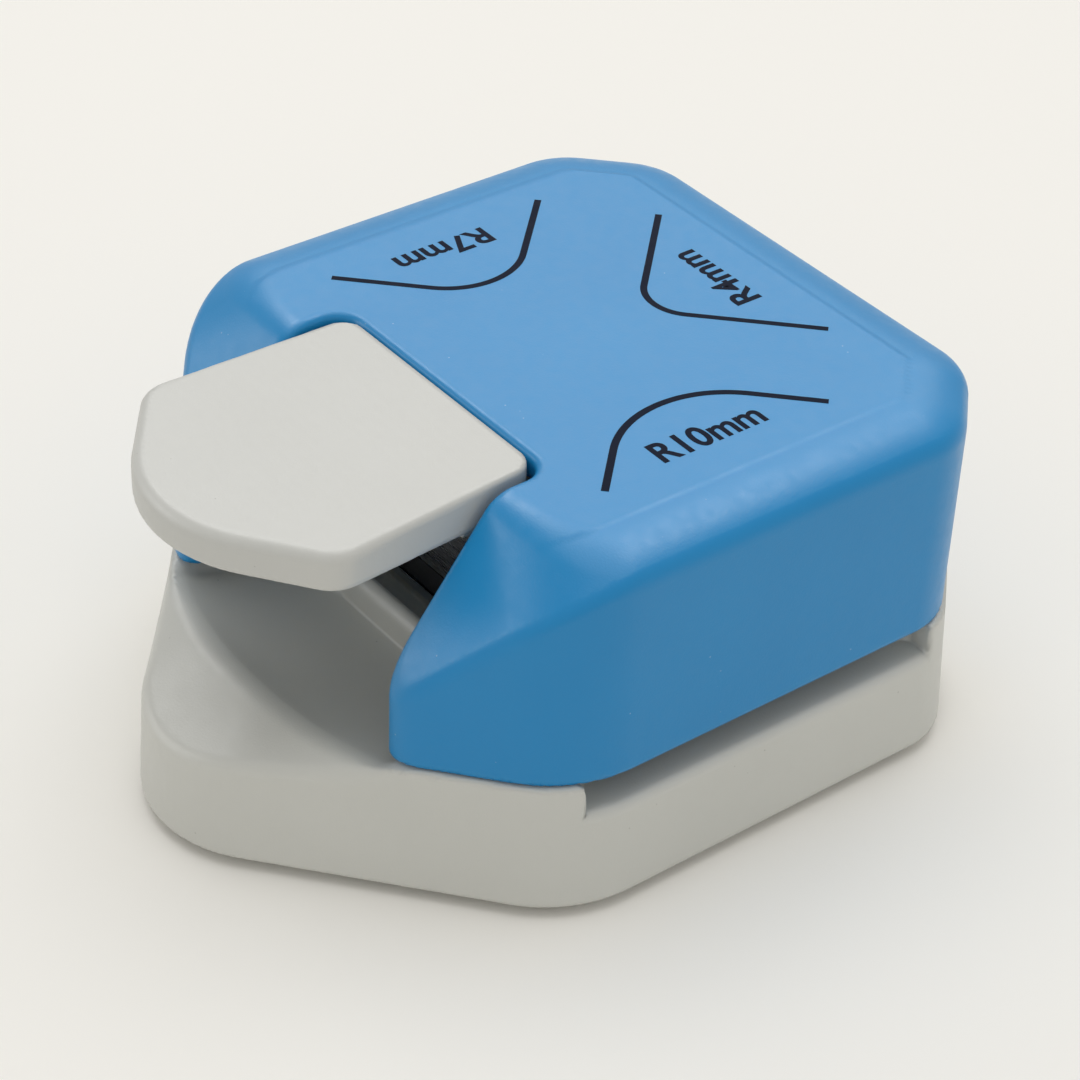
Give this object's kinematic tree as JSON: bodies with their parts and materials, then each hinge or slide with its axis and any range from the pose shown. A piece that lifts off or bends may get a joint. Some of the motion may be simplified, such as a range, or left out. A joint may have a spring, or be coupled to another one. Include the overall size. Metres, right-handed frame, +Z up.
{
  "type": "corner rounder",
  "caption": "Desk corner rounder for paper: eight-sided blue cover on a grey base, front thumb lever, paper slots on the right, left and back",
  "frame": {"origin": "on the ground under the middle of the object's box", "axes": "+Z up; -Y towards the thumb lever and nose, +Y towards the 4 mm slot; +X towards the 10 mm slot"},
  "size_m": [0.0574, 0.0686, 0.0342],
  "materials": {
    "blue_plastic": "satin moulded",
    "grey_plastic": "fine satin moulded",
    "light_grey_plastic": "satin moulded with faint ribs",
    "black_plastic": "moulded",
    "steel": "ground",
    "rubber": "matte"
  },
  "bodies": {
    "base": {"base_shell": "grey_plastic", "top_housing": "blue_plastic", "lever_pin": "steel", "guide_post_left": "steel", "guide_post_right": "steel", "upper_plate": "steel", "die_plate": "steel", "guide_block": "grey_plastic", "block_screw_left": "steel", "block_screw_right": "steel", "block_screw_front": "steel", "housing_screw_1": "steel", "housing_screw_2": "steel", "housing_screw_3": "steel", "housing_screw_4": "steel", "foot_1": "rubber", "foot_2": "rubber", "foot_3": "rubber", "foot_4": "rubber", "return_spring": "steel"},
    "lever": {"lever": "light_grey_plastic"},
    "punch": {"punch_carrier": "black_plastic", "punch_r10": "steel", "punch_r7": "steel", "punch_r4": "steel", "punch_screw_r10": "steel", "punch_screw_r7": "steel", "punch_screw_r4": "steel"},
    "cover": {"chip_cover": "grey_plastic"}
  },
  "joints": [
    {"name": "lever_hinge", "type": "hinge", "parent": "base", "child": "lever", "pos_m": [0, 0.02553, 0.02815], "axis": [1, 0, 0], "range_deg": [0, 17], "stiffness_Nm_per_rad": 0.96, "springref_deg": -12.15},
    {"name": "punch_slide", "type": "slide", "parent": "base", "child": "punch", "axis": [0, 0, -1], "range_m": [0, 0.0056], "deforming": ["return_spring"]},
    {"name": "cover_hinge", "type": "hinge", "parent": "base", "child": "cover", "pos_m": [0, 0.02333, 0.00265], "axis": [1, 0, 0], "range_deg": [0, 90]}
  ],
  "couplings": [
    {"joint": "lever_hinge", "follows": "punch_slide", "rad_per_m": 52.98}
  ]
}
